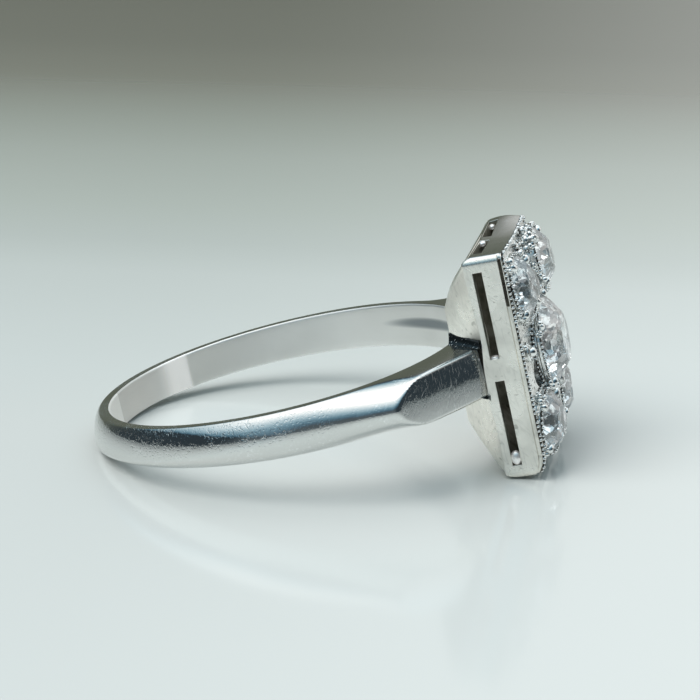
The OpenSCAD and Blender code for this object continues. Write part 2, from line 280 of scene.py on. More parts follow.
def workedPlatinum():
    # the front plate: scraped bright, with fine tool marks and dark specks
    paint = Paint(bpy.data.materials.new("workedPlatinum"))
    grain = paint.noise(*plateLook["grain"])
    cloud = paint.noise(*plateLook["clouds"])
    tooled = paint.dashes(*plateLook["tooled"])
    specks = paint.peaks(*plateLook["specks"])
    shade = paint.mix(paint.levels(cloud, 0.45, 0.7) * 0.4, plateLook["colour"], metalLook["dull"])
    shade = paint.mix(specks * 0.85, shade, plateLook["specked"])
    normal = paint.bump(grain - tooled * 0.8 - specks, *plateLook["relief"])
    return paint.metal(shade, 0.16 + paint.levels(cloud, 0.35, 0.7) * 0.16, normal)


# lumps and marks: scale, detail and roughness of a noise; marked: where the marks begin and are full
lumpyLooks = dict(
    # grains, beads and prongs: burnished, with dirt caught between them
    grains=dict(colour=(0.90, 0.90, 0.88, 1), mark=(0.14, 0.13, 0.115, 1), lumps=(9000.0, 2.0, 0.5),
                marks=(5200.0, 2.0, 0.5), marked=(0.58, 0.64), share=0.7, relief=(0.55, 0.00003),
                rough=0.09, markRough=0.3, metallic=1.0),
    # the inside of the head, never polished, and the slots' sides: dull and brownish; their darkness is
    # partly tarnish and partly painted shade
    inside=dict(colour=(0.34, 0.315, 0.25, 1), mark=(0.17, 0.155, 0.115, 1), lumps=(1500.0, 4.0, 0.6),
                marks=(1500.0, 4.0, 0.6), marked=(0.35, 0.65), share=1.0, relief=(0.4, 0.00003),
                rough=0.55, markRough=0.0, metallic=0.8),
    # the fillets at the shoulders: rough and nearly black, with a few bright specks
    solder=dict(colour=(0.10, 0.11, 0.115, 1), mark=metalLook["bright"], lumps=(4200.0, 3.0, 0.6),
                marks=(8500.0, 1.0, 0.5), marked=(0.66, 0.72), share=1.0, relief=(0.5, 0.00002),
                rough=0.22, markRough=0.3, metallic=1.0))
# seams, grooves and the ground under the grains: as the inside, and nearly black, which is painted shade
lumpyLooks["creviceShade"] = dict(lumpyLooks["inside"], colour=(0.10, 0.09, 0.07, 1), mark=(0.035, 0.03, 0.025, 1))


def lumpyMetal(name, look):
    paint = Paint(bpy.data.materials.new(name))
    marks = paint.peaks(*look["marks"], *look["marked"])
    shade = paint.mix(marks * look["share"], look["colour"], look["mark"])
    normal = paint.bump(paint.noise(*look["lumps"]), *look["relief"])
    return paint.metal(shade, look["rough"] + marks * look["markRough"], normal, look["metallic"])


# the tints are painted facet shade, and the sparks with the glow are painted glints
diamondLook = dict(
    cells=(2500.0,) * 3, tilt=0.18, index=2.417, paintedGlow=0.13,
    paintedFacetTints=[(0.0, (0.40, 0.38, 0.33)), (0.12, (0.62, 0.62, 0.58)), (0.2, (0.93, 0.97, 1.0)),
           (0.5, (0.98, 1.0, 1.0)), (1.0, (1.0, 0.995, 0.98))],
    paintedSparks=[(0.0, (0.07, 0.09, 0.10)), (0.62, (0.12, 0.15, 0.16)), (0.72, (0.52, 0.63, 0.68)),
            (0.84, (1.0, 1.0, 1.0))])


def diamond():
    # clear; small cells tilt the normal, tint it darker and lighter and make it glow, for the many facets
    # seen through one another: painted facet shade and painted glints
    paint = Paint(bpy.data.materials.new("diamond"))
    spread = paint.vector("MULTIPLY", paint.place(), diamondLook["cells"])
    cells = paint.node("TexVoronoi", {"feature": "F1"}, {"Vector": spread, "Scale": 1.0})[1]
    first, second = paint.split(cells)[:2]
    tilt = paint.vector("SCALE", paint.vector("SUBTRACT", cells, (0.5, 0.5, 0.5)), diamondLook["tilt"])
    normal = paint.vector("ADD", paint.node("NewGeometry")[1], tilt)
    normal = paint.node("VectorMath", {"operation": "NORMALIZE"}, {0: normal})[0]
    return paint.surface({
        "Base Color": paint.ramp(first, diamondLook["paintedFacetTints"]), "Roughness": 0.0, "IOR": diamondLook["index"],
        "Transmission Weight": 1.0, "Normal": normal,
        "Emission Color": paint.ramp(second, diamondLook["paintedSparks"]),
        "Emission Strength": diamondLook["paintedGlow"]})


looks = {
    "shank": scratchedPlatinum(),
    "bore": borePlatinum(),
    "inside": lumpyMetal("tarnishedAndShadedPlatinum", lumpyLooks["inside"]),
    "creviceShade": lumpyMetal("tarnishedAndShadedPlatinum", lumpyLooks["creviceShade"]),
    "walls": satinPlatinum(satinLook["walls"], satinLook["wallRough"]),
    "blob": satinPlatinum(satinLook["blob"], satinLook["blobRough"], satinLook["blobPaintedGlow"]),
    "plate": workedPlatinum(),
    "grains": lumpyMetal("brightGrains", lumpyLooks["grains"]),
    "solder": lumpyMetal("darkSolder", lumpyLooks["solder"]),
    "stone": diamond(),
}
print("materials made")


quarters = ((-1, -1), (-1, 1), (1, -1), (1, 1))


def clamp(value):
    return min(max(value, 0), 1)


def within(value, limit):
    return max(min(value, limit), -limit)


def shift(x, y, z):
    return Matrix.Translation((x, y, z))


def circle(count):
    turns = [2 * pi * k / count for k in range(count)]
    return [(cos(a), sin(a)) for a in turns]


def addObject(name, data):
    made = bpy.data.objects.new(name, data)
    bpy.context.scene.collection.objects.link(made)
    return made


def addMesh(name, mesh):
    data = bpy.data.meshes.new(name)
    mesh.to_mesh(data)
    mesh.free()
    return addObject(name, data)


def mendNormals(mesh):
    bmesh.ops.recalc_face_normals(mesh, faces=mesh.faces[:])


def mergeVerts(mesh):
    bmesh.ops.remove_doubles(mesh, verts=mesh.verts[:], dist=0.0008)


def finishPiece(name, mesh, lookNames, sharpAngle=32.0):
    # turns a bmesh in ring millimetres into a piece that lies where the ring lies
    mergeVerts(mesh)
    bmesh.ops.dissolve_degenerate(mesh, edges=mesh.edges[:], dist=0.0005)
    mendNormals(mesh)
    mesh.transform(ringPlace)
    piece = addMesh(name, mesh)
    data = piece.data
    for look in lookNames:
        data.materials.append(looks[look])
    data.polygons.foreach_set("use_smooth", [sharpAngle > 0] * len(data.polygons))
    if sharpAngle > 0:
        data.set_sharp_from_angle(angle=radians(sharpAngle))
    if 0 < sharpAngle < 180:
        flat = piece.modifiers.new("flatFaces", "WEIGHTED_NORMAL")
        flat.keep_sharp = True
    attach(piece, "root")
    print("piece", name, len(data.polygons), "faces")
    return piece


def between(rows, place):
    # reads a short table of (place, value, value ...) rows along a smooth curve
    count = len(rows)
    at = 0
    while at < count - 2 and place > rows[at + 1][0]:
        at += 1
    before, start, end, after = rows[max(at - 1, 0)], rows[at], rows[at + 1], rows[min(at + 2, count - 1)]
    span = end[0] - start[0]
    t = clamp((place - start[0]) / span)
    values = []
    for k in range(1, len(start)):
        slopeIn = (end[k] - before[k]) / (end[0] - before[0]) * span
        slopeOut = (after[k] - start[k]) / (after[0] - start[0]) * span
        values.append((2 * t ** 3 - 3 * t ** 2 + 1) * start[k] + (t ** 3 - 2 * t ** 2 + t) * slopeIn
                      + (3 * t ** 2 - 2 * t ** 3) * end[k] + (t ** 3 - t ** 2) * slopeOut)
    return values


def bridgeLoops(mesh, loops, closed):
    # joins rings of vertices into a tube; open ends are capped
    for first, second in zip(loops, loops[1:] + (loops[:1] if closed else [])):
        for i in range(len(first)):
            j = (i + 1) % len(first)
            mesh.faces.new((first[i], first[j], second[j], second[i]))
    if not closed:
        mesh.faces.new(list(reversed(loops[0])))
        mesh.faces.new(loops[-1])


def addFace(mesh, look, *corners):
    mesh.faces.new(corners).material_index = look


def cutAway(mesh, geometry, point, normal):
    # slices off what lies beyond a plane and caps the cut
    cut = bmesh.ops.bisect_plane(mesh, geom=geometry, dist=1e-5, plane_co=point, plane_no=normal,
                                 clear_outer=True)
    rim = [e for e in cut["geom_cut"] if isinstance(e, bmesh.types.BMEdge) and e.is_valid]
    bmesh.ops.contextual_create(mesh, geom=rim)


shank = dict(
    holeRadius=8.6, middleRadius=9.4, backWidth=1.66, shoulderWidth=2.32, heel=-9.2005,
    # the flat of each shoulder, and the seam where it meets the head; turns are degrees from the front
    facetDistance=10.42, facetAngle=35.5, facetTo=75, facetEdge=0.14, facetEase=0.2, facetBlend=0.15,
    facetBow=10.5, facetLean=0.02, facetTwist=0.008,
    seamAt=2.47, seamRise=0.06, seamDepth=0.10, seamFrom=10.3,
    cornerEase=0.045, boreEase=0.11, boreLookTo=0.1, domePoints=36, borePoints=6,
    step=1.0, fineStep=0.4, fineTo=66, seamStep=0.15, seamTurns=(20, 26), innerEnd=14.0,
    # where the shoulder is cut off inside the head, and the way the cut faces
    cutAt=(8.3, 1.75), cutFacing=(0.734, -0.679),
    # angle from the front, radius of the ridge, radius of the dome's edge, dome spread, height of the ridge
    rows=[(0.0, 12.6, 10.4, 1.02, 0), (28.0, 12.5, 10.3, 1.02, 0), (40.0, 12.1, 10.1, 1.02, 0),
          (44.5, 11.7, 9.85, 1.02, 0), (47.7, 11.3, 9.4, 1.03, 0), (51.5, 10.84, 9.17, 1.05, 0),
          (56.0, 10.46, 9.15, 1.09, 0), (62.0, 10.08, 9.15, 1.15, 0), (70.0, 9.8, 9.17, 1.22, 0),
          (80.0, 9.68, 9.18, 1.26, -0.03), (90.0, 9.66, 9.17, 1.24, -0.10), (105.0, 9.66, 9.15, 1.17, -0.24),
          (120.0, 9.66, 9.14, 1.13, -0.38), (135.0, 9.64, 9.13, 1.12, -0.5), (150.0, 9.63, 9.13, 1.12, -0.54),
          (180.0, 9.6, 9.12, 1.12, -0.5)],
)


def shankHalfWidth(x):
    slope = (shank["shoulderWidth"] - shank["backWidth"]) / 2 / (shank["holeRadius"] - shank["heel"])
    return shank["backWidth"] / 2 + slope * (x - shank["heel"])


def facetReach(turn, z):
    # how far out the flat of the shoulder lies; it bows a little and dips to a seam at the head
    away = radians(turn - shank["facetAngle"])
    along = -shank["facetDistance"] * tan(away)
    reach = shank["facetDistance"] - z ** 2 / 2 / shank["facetBow"]
    reach -= z * (shank["facetLean"] + shank["facetTwist"] * along)
    reach -= shank["seamDepth"] * clamp((along - shank["seamAt"]) / shank["seamRise"])
    return reach / cos(away)


def softLower(first, second, blend):
    # the lower of two heights, with a round passage from one to the other
    near = max(blend - abs(first - second), 0) / blend
    return min(first, second) - near ** 2 * blend / 4


def rounding(s, radius):
    # how far a rounded edge draws in at a distance s from its end
    return 0 if s >= radius else radius - sqrt(max(radius ** 2 - (radius - s) ** 2, 0))


def shankSection(turn):
    # (radius, z) points round the section at an angle from the front
    ridge, edge, spread, middle = between(shank["rows"], turn)
    half = shankHalfWidth(shank["middleRadius"] * cos(radians(turn)))
    ease, bore, parts = shank["cornerEase"], shank["holeRadius"], shank["borePoints"]
    depth = (ridge - edge) / (1 - sqrt(1 - 1 / spread ** 2))
    outside = []
    for s in range(shank["domePoints"] + 1):
        z = half * cos(pi * s / shank["domePoints"])
        reach = (half - middle if z > middle else half + middle) * spread
        radius = ridge - depth * (1 - sqrt(max(1 - ((z - middle) / reach) ** 2, 0)))
        edgeEase = ease
        if turn < shank["facetTo"]:
            flat = facetReach(turn, z)
            edgeEase += (shank["facetEdge"] - ease) * clamp((radius - flat) / shank["facetEase"] + 0.5)
            radius = softLower(radius, flat, shank["facetBlend"])
        outside.append((radius - rounding(half - abs(z), edgeEase), z))
    lip = shank["boreEase"]
    quarter = [pi / 2 * k / parts for k in range(1, parts + 1)]
    curve = [(bore + lip * (1 - cos(a)), half - lip * (1 - sin(a))) for a in quarter]
    points = [(bore, (half - lip) * (2 * s / parts - 1)) for s in range(parts + 1)] + curve
    points += [(0.5 * (bore + lip + outside[0][0]), half)] + outside
    points += [(0.5 * (bore + lip + outside[-1][0]), -half)]
    return points + [(r, -z) for r, z in reversed(curve)]


def buildShank():
    mesh = bmesh.new()
    turns = []
    turn = shank["innerEnd"]
    seamStart, seamEnd = shank["seamTurns"]
    while turn < 180:
        turns.append(turn)
        farStep = shank["fineStep"] if turn < shank["fineTo"] else shank["step"]
        turn += shank["seamStep"] if seamStart < turn < seamEnd else farStep
    turns = turns + [180.0] + [360 - t for t in reversed(turns)]
    loops = []
    for turn in turns:
        around = radians(-turn)
        loops.append([mesh.verts.new((r * cos(around), r * sin(around), z))
                      for r, z in shankSection(min(turn, 360 - turn))])
    bridgeLoops(mesh, loops, False)
    mendNormals(mesh)
    (cutX, cutY), (facingX, facingY) = shank["cutAt"], shank["cutFacing"]
    for side in (-1, 1):
        middles = [(f, f.calc_center_median()) for f in mesh.faces]
        faces = [f for f, middle in middles if middle.y * side > 0 and middle.x > 1]
        edges = {e for f in faces for e in f.edges}
        verts = {v for f in faces for v in f.verts}
        cutAway(mesh, list(verts) + list(edges) + faces, (cutX, side * cutY, 0), (facingX, side * facingY, 0))
    # the bore has its own look, and the seam at the head is painted near black as shade
    seamTurn = shank["facetAngle"] - degrees(atan2(shank["seamAt"], shank["facetDistance"]))
    boreTo = shank["holeRadius"] + shank["boreLookTo"]
    for face in mesh.faces:
        face.material_index = int(all(hypot(v.co.x, v.co.y) < boreTo for v in face.verts))
        middle = face.calc_center_median()
        nearHead = abs(degrees(atan2(middle.y, middle.x))) < seamTurn
        if nearHead and hypot(middle.x, middle.y) > shank["seamFrom"]:
            face.material_index = 2
    return finishPiece("shank", mesh, ["shank", "bore", "creviceShade"])


head = dict(
    halfWidth=4.0, halfLength=5.22, rim=11.79, wall=0.5, corner=0.34, cornerTurn=10, stationStep=0.25,
    slotLow=10.33, slotHigh=10.75, longSlots=(0.53, 4.53), shortSlots=(0.35, 3.05),
    rearRound=0.42, lowRearRound=0.6, frontRound=0.3, crisp=0.05, slotEase=0.035, bow=0.14, farBulge=0.16,
    farBulgeWidth=3, grooveFrom=0.11, grooveTo=0.22, grooveDepth=0.05, grooveDeeper=0.06, grooveDeepFrom=2.4,
    grooveShadeFrom=2.9, wornFrom=4.3, wornDepth=0.42, endRear=0.42,
    # the edges of the slots that are eased: y or z from which on, degrees, and a share of slotEase
    slotEdgesFrom=(3.9, 5.0), slotEdgeAngle=60, slotBevel=0.8,
    # z along the long walls, and how far the rear edge lies behind the slots
    rearEdge=[(-5.22, 0.42), (-4.3, 0.42), (-2.7, 0.40), (-1.3, 0.50), (0.0, 0.42), (1.4, 0.27), (2.6, 0.33),
              (4.5, 0.42), (5.22, 0.42)],
    # rows of vertices: shares of the way from the rear edge to the slots, and distances from the rim
    rearShares=[0.0, 0.02, 0.06, 0.13, 0.24, 0.36, 0.5, 0.7],
    frontDepths=[0.75, 0.55, 0.38, 0.3, 0.25, 0.22, 0.19, 0.14, 0.11, 0.09, 0.06, 0.03, 0.01, 0.0],
    # solder in the slots of the long walls, mirrored, and of the upper wall: x from the slot's middle,
    # y, z, radius, stretch
    sideBlobs=[(0.0, 3.89, -4.2, 0.2, (1.22, 1.1, 1.7)), (0.0, 3.85, 0.55, 0.2, (1.06, 0.9, 0.55))],
    endBlobs=[(-0.11, 2.95, 5.07, 0.17, (1.0, 1.3, 0.8)), (-0.11, -0.5, 5.07, 0.17, (1.0, 1.3, 0.8))],
)


def wallPlaces(limit, slots):
    # places along one wall, from -limit to limit, with one on each side of every slot's edge
    ease = head["slotEase"]
    marks = {-limit, limit}
    for low, high in [slots, (-slots[1], -slots[0])]:
        marks |= {low, high, low + ease, high - ease, low - ease, high + ease}
    marks = sorted(m for m in marks if abs(m) <= limit)
    places = []
    for a, b in zip(marks, marks[1:]):
        parts = max(1, ceil((b - a) / head["stationStep"]))
        places += [a + (b - a) * k / parts for k in range(parts)]
    return places + [limit]


def wallStations():
    # points round the head's outline: (y, z, outward y, outward z)
    corner, step = head["corner"], head["cornerTurn"]
    stations = []
    for turn, (c, s) in zip((0, 90, 180, 270), ((1, 0), (0, 1), (-1, 0), (0, -1))):
        sizes = head["halfWidth"], head["halfLength"]
        out, half = sizes if c else reversed(sizes)
        slots = head["longSlots"] if c else head["shortSlots"]
        stations += [(out * c - p * s, out * s + p * c, c, s) for p in wallPlaces(half - corner, slots)]
        y = (out - corner) * c - (half - corner) * s
        z = (out - corner) * s + (half - corner) * c
        for a in [radians(a) for a in range(turn + step, turn + 90, step)]:
            stations.append((y + corner * cos(a), z + corner * sin(a), cos(a), sin(a)))
    return stations


def inSlot(start, end):
    # whether the wall between two stations is cut by one of its slots
    for out, place, slots in ((2, 1, "longSlots"), (3, 0, "shortSlots")):
        if start[2:] == end[2:] and abs(start[out]) == 1:
            low, high = head[slots]
            return low + 1e-4 < abs((start[place] + end[place]) / 2) < high - 1e-4
    return False


def wornEnd(z):
    # how much lower the worn front stands near the lower end
    start = head["wornFrom"]
    return head["wornDepth"] * max(0.0, (-z - start) / (head["halfLength"] - start)) ** 2


def rearOfWall(z, outY):
    # distance of the rear edge from the finger's middle
    return head["slotLow"] - (between(head["rearEdge"], z)[0] if abs(outY) > 0.5 else head["endRear"])


def endShare(outY, outZ):
    # how much of an end wall's rounding a place on the outline has; the lower end's reaches round the corners
    return outZ ** 2 if outZ > 0 else 1 - outY ** 4


def inGroove(x):
    return head["grooveFrom"] - 1e-4 < head["rim"] - x < head["grooveTo"] + 1e-4


def wallColumn(mesh, station, levels):
    # the outer and inner vertices of the wall at one station, from the rear edge to the rim
    y, z, outY, outZ = station
    low, high, rim = head["slotLow"], head["slotHigh"], head["rim"]
    rear = rearOfWall(z, outY)
    endWall = outZ ** 2
    rearRound = head["rearRound"] if outZ > 0 else head["lowRearRound"]
    rearRound = head["crisp"] + (rearRound - head["crisp"]) * endShare(outY, outZ)
    frontRound = head["crisp"] + (head["frontRound"] - head["crisp"]) * endShare(outY, outZ) * (outZ < 0)
    innerY = within(y, head["halfWidth"] - head["wall"])
    innerZ = within(z, head["halfLength"] - head["wall"])
    outer, inner = [], []
    for kind, x in levels:
        if kind == "share":
            x = rear + (low - head["slotEase"] - rear) * x
        draw = rounding(x - rear, rearRound) + rounding(rim - x, frontRound)
        bow = head["bow"] * (1 - (y / head["halfWidth"]) ** 2) * endWall * (x - rear) / (rim - rear)
        if outZ > 0:
            side = clamp(y / head["farBulgeWidth"])
            bow -= head["farBulge"] * endWall * sin(pi * (x - rear) / (rim - rear)) * side
        if inGroove(x):
            deeper = head["grooveDeeper"] * clamp(z - head["grooveDeepFrom"])
            draw += (head["grooveDepth"] + deeper) * outY ** 2
        x -= wornEnd(z) * clamp((x - high) / (rim - high))
        outer.append(mesh.verts.new((x, y - outY * draw, z - outZ * (draw + bow))))
        inner.append(mesh.verts.new((x, innerY, innerZ)))
    return outer, inner


def buildWalls():
    mesh = bmesh.new()
    plain, inside, polished, blob, creviceShade = range(5)
    ease, low, high, rim = head["slotEase"], head["slotLow"], head["slotHigh"], head["rim"]
    levels = [("share", share) for share in head["rearShares"]]
    levels += [("at", x) for x in (low - ease, low, low + ease, high - ease, high, high + ease)]
    levels += [("at", rim - depth) for depth in head["frontDepths"]]
    slotLevels = [i for i, (kind, x) in enumerate(levels) if low - 1e-4 <= x <= high + 1e-4]
    slotStart, slotEnd = slotLevels[0], slotLevels[-1]
    groove = [i for i, (kind, x) in enumerate(levels) if inGroove(x)]
    stations = wallStations()
    outer, inner = zip(*[wallColumn(mesh, station, levels) for station in stations])
    count = len(stations)
    opens = [inSlot(stations[i], stations[(i + 1) % count]) for i in range(count)]
    for i in range(count):
        j = (i + 1) % count
        y, z, outY, outZ = stations[i]
        outside = polished if outZ > 0.7 and stations[j][3] > 0.7 else plain
        for k in range(len(levels) - 1):
            if opens[i] and slotStart <= k < slotEnd:
                continue
            # painted shade: the groove near the front of the long walls is near black towards the upper end
            dark = groove[0] <= k < groove[-1] and abs(outY) > 0.9 and z > head["grooveShadeFrom"]
            look = creviceShade if dark else outside
            addFace(mesh, look, outer[i][k], outer[j][k], outer[j][k + 1], outer[i][k + 1])
            addFace(mesh, inside, inner[i][k], inner[i][k + 1], inner[j][k + 1], inner[j][k])
        addFace(mesh, plain, outer[i][0], inner[i][0], inner[j][0], outer[j][0])
        addFace(mesh, plain, outer[i][-1], outer[j][-1], inner[j][-1], inner[i][-1])
        if not opens[i]:
            continue
        for k in (slotStart, slotEnd):
            addFace(mesh, inside, outer[i][k], outer[j][k], inner[j][k], inner[i][k])
        for end, beside in ((i, i - 1), (j, j)):
            for k in range(slotStart, slotEnd * (not opens[beside])):
                addFace(mesh, inside, outer[end][k], outer[end][k + 1], inner[end][k + 1], inner[end][k])
    mergeVerts(mesh)
    mendNormals(mesh)
    edgeY, edgeZ = head["slotEdgesFrom"]
    sharp = [e for e in mesh.edges
             if len(e.link_faces) == 2 and e.calc_face_angle(0) > radians(head["slotEdgeAngle"])]
    slotEdges = [e for e in sharp if all(low - 0.01 < v.co.x < high + 0.01 for v in e.verts)
                 and all(abs(v.co.y) > edgeY or abs(v.co.z) > edgeZ for v in e.verts)]
    bmesh.ops.bevel(mesh, geom=slotEdges, offset=ease * head["slotBevel"], offset_type="OFFSET", segments=2,
                    profile=0.5, affect="EDGES", clamp_overlap=True)
    blobs = [(x, side * y, *rest) for side in (-1, 1) for x, y, *rest in head["sideBlobs"]]
    for x, y, z, size, stretch in blobs + head["endBlobs"]:
        addGrain(mesh, shift((low + high) / 2 + x, y, z), size, stretch, 3, blob)
    return finishPiece("side_walls", mesh, ["walls", "inside", "shank", "blob", "creviceShade"])


gallery = dict(
    footY=2.0, footZ=2.8, wall=0.5, topBulge=0.17, lowBulge=0.05, sideBulge=0.06, bulgeBack=-0.75,
    bulgeOut=0.66, steps=14, inset=0.012, overlap=0.05, mouthDeep=0.25, lowMouthDeep=0.45)


def galleryPoint(station, t, inside):
    # a point of the funnel's wall, at a share t of the way from the mouth to the foot
    y, z, outY, outZ = station
    w, l, wall = head["halfWidth"], head["halfLength"], gallery["wall"]
    footY, footZ = y / w * gallery["footY"], z / l * gallery["footZ"]
    mouthX = rearOfWall(z, outY) + gallery["overlap"]
    if inside:
        footY = within(footY, gallery["footY"] - wall)
        footZ = within(footZ, gallery["footZ"] - wall)
        mouth = Vector((mouthX + gallery["mouthDeep"], within(y, w - wall), within(z, l - wall)))
    else:
        deep = gallery["mouthDeep"] if outZ > 0 else gallery["lowMouthDeep"]
        inset = gallery["inset"]
        mouth = Vector((mouthX + deep * endShare(outY, outZ), y - outY * inset, z - outZ * inset))
    foot = Vector((sqrt(shank["holeRadius"] ** 2 - footY ** 2), footY, footZ))
    point = mouth.lerp(foot, t)
    if not inside:
        endBulge = gallery["topBulge"] if outZ > 0 else gallery["lowBulge"]
        bulge = gallery["sideBulge"] + (outZ ** 2) * (endBulge - gallery["sideBulge"])
        way = Vector((gallery["bulgeBack"], outY * gallery["bulgeOut"], outZ * gallery["bulgeOut"]))
        point += way * bulge * sin(pi * t)
    return point


def buildGallery():
    # hollow funnel from the finger hole to the rear edge of the walls
    mesh = bmesh.new()
    steps = gallery["steps"]
    shells = [[[mesh.verts.new(galleryPoint(station, step / steps, inside)) for station in wallStations()]
               for step in range(steps + 1)] for inside in (False, True)]
    bridgeLoops(mesh, shells[0] + list(reversed(shells[1])), True)
    insideVerts = {v for ring in shells[1] for v in ring}
    for face in mesh.faces:
        face.material_index = int(all(v in insideVerts for v in face.verts))
    return finishPiece("under_gallery", mesh, ["walls", "inside"])


solder = dict(
    # x and y of the fillet's edge at the shoulder and of its edge up on the gallery, at both ends
    near=(8.35, 3.05, 8.3, 1.95), far=(9.9, 4.4, 9.98, 3.98), rise=0.46, taper=0.35, fullness=0.35,
    sunk=0.03, buried=(0.05, -0.05, -0.05), steps=12, curve=8)


def buildSolder():
    # the fillets where the sides of the shoulders run up to the gallery
    mesh = bmesh.new()
    for sideY, sideZ in quarters:
        loops = []
        for step in range(solder["steps"] + 1):
            t = step / solder["steps"]
            lowX, lowY, highX, highY = [a + (b - a) * t for a, b in zip(solder["near"], solder["far"])]
            side = shankHalfWidth(lowX) - solder["sunk"]
            low, corner = Vector((lowX, lowY, side)), Vector((highX, highY, side))
            high = Vector((highX, highY, side + solder["rise"] * (1 - solder["taper"] * t)))
            bend = corner.lerp((low + high) / 2, solder["fullness"])
            ring = []
            for k in range(solder["curve"] + 1):
                u = k / solder["curve"]
                ring.append(low * (1 - u) ** 2 + bend * 2 * u * (1 - u) + high * u ** 2)
            ring.append(corner + Vector(solder["buried"]))
            loops.append([mesh.verts.new((p.x, p.y * sideY, p.z * sideZ)) for p in ring])
        bridgeLoops(mesh, loops, False)
    return finishPiece("solder_fillets", mesh, ["solder"], sharpAngle=50)


stones = dict(
    # shares of the radius
    crown=0.4, table=0.5, pavilion=0.84, culet=0.09, girdle=0.05, halfRise=0.012, mainReach=0.998,
    # how far out the stars cut, as a share of the table, and how low the culet, of the pavilion
    starReach=1.02, culetCut=0.985,
    # degrees: the lean of the corner stones, how much steeper the halves are, how much flatter the stars
    lean=9.0, halfSteeper=4.2, lowHalfSteeper=2.0, starFlatter=12.5, girdleSides=96, turnEach=11.0,
    # name: across, along, height above the rim, radius, way it leans across, way it leans along
    rows={"centre_stone": (0.0, 0.0, 0.62, 2.15, 0, 0),
          "upper_near_stone": (-2.32, 3.2, 0.36, 1.42, -1, 1),
          "upper_far_stone": (2.32, 3.46, 0.66, 1.42, 0.35, 1),
          "lower_near_stone": (-2.32, -3.2, 0.36, 1.42, -1, -1),
          "lower_far_stone": (2.32, -2.94, 0.36, 1.42, 1, -1)},
)


def atStone(name):
    # puts what is drawn upright on z at a stone's place on the front of the head
    across, along, lift, _, leanAcross, leanAlong = stones["rows"][name]
    lean = radians(stones["lean"])
    place = shift(head["rim"] + lift, across, along) @ Matrix.Rotation(leanAcross * lean, 4, "Z")
    return place @ Matrix.Rotation(pi / 2 - leanAlong * lean / 2, 4, "Y")


def buildStone(name, turn):
    # an old round cut: the facets are sliced one by one off a drum
    radius = stones["rows"][name][3]
    crown, table, deep = stones["crown"] * radius, stones["table"] * radius, stones["pavilion"] * radius
    girdle, rise = stones["girdle"] * radius, stones["halfRise"] * radius
    mesh = bmesh.new()
    middle = shift(0, 0, (crown - girdle - deep) / 2)
    bmesh.ops.create_cone(mesh, cap_ends=True, segments=stones["girdleSides"], radius1=radius, radius2=radius,
                          depth=crown + girdle + deep, matrix=middle)

    def cutFacet(azimuth, angle, out, height):
        # a facet leaning by an angle from level, through a point at a radius and height
        a, tilt = radians(azimuth), radians(abs(angle))
        facing = (sin(tilt) * cos(a), sin(tilt) * sin(a), (1 if angle > 0 else -1) * cos(tilt))
        point = (out * cos(a), out * sin(a), height)
        cutAway(mesh, mesh.verts[:] + mesh.edges[:] + mesh.faces[:], point, facing)

    mainAngle = degrees(atan2(crown, radius - table))
    deepAngle = degrees(atan2(deep, radius * (1 - stones["culet"])))
    for k in range(8):
        cutFacet(45 * k, mainAngle, radius * stones["mainReach"], 0.0)
        cutFacet(45 * k, -deepAngle, radius * stones["mainReach"], -girdle)
    for k in range(16):
        cutFacet(22.5 * k + 11.25, mainAngle + stones["halfSteeper"], radius, rise)
        cutFacet(22.5 * k + 11.25, -deepAngle - stones["lowHalfSteeper"], radius, -girdle - rise)
    for k in range(8):
        cutFacet(45 * k + 22.5, mainAngle - stones["starFlatter"], table * stones["starReach"], crown)
    cutFacet(0, 0.0001, 0, crown)
    cutFacet(0, -0.0001, 0, -girdle - deep * stones["culetCut"])
    mesh.transform(atStone(name) @ Matrix.Rotation(radians(turn), 4, "Z"))
    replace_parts(finishPiece(name.replace("_stone", "_diamond"), mesh, ["stone"], 0), name)


plate = dict(
    thickness=0.7, rimWidth=0.28, dome=0.52, roofY=1.45, roofZ=1.95, grid=0.075,
    ridgeHalf=0.34, ridgeUp=0.16, ridgeAside=0.26, ridgeFoot=1.25, ridgeEase=0.35, ridgeFrom=1.8,
    ridgeEnd=0.3, skirtDrop=0.13, lowSkirt=0.3, skirtSlope=1.25, border=0.35,
    # the openings: full crescents in the lower half, slim ones above, then slots as (across, along, length)
    crescentRadius=2.3, crescentGap=0.1, crescentSteps=12, crescentTip=0.1,
    crescent=(3.5, 38.0, 0.74), slim=(8.0, 26.0, 0.24),
    slotWidth=0.26, slots=((0.24, 4.05, 0.62), (0.6, 2.92, 0.5)), slotTurn=20, cutBelow=0.3, cutAbove=1.2)
collet = dict(
    centreWall=0.2, cornerWall=0.16, deep=0.5, lip=0.03, neck=0.16, play=0.02, seatPlay=0.03, hole=0.8,
    seatHole=0.62, sides=96, seatSides=64,
    # the seat's section: two depths as shares of the pavilion's, one of the radius, and two heights
    seatDepths=(1.6, 0.42), seatGirdle=0.05, seatHeights=(0.02, 1.2),
    # the collet's: depths of slope and girdle as shares of the radius, the inner edge's height, how far the
    # lip eases inside, outside and down, the neck's top, its middle as a share, and how a low wall leans
    slope=0.24, girdle=0.06, innerUp=0.02, ease=(0.02, 0.05, 0.02), neckTop=0.12, neckShare=0.5,
    lowWall=((0.02, 0.3), 0.03))


def colletWall(name):
    return collet["centreWall"] if name == "centre_stone" else collet["cornerWall"]


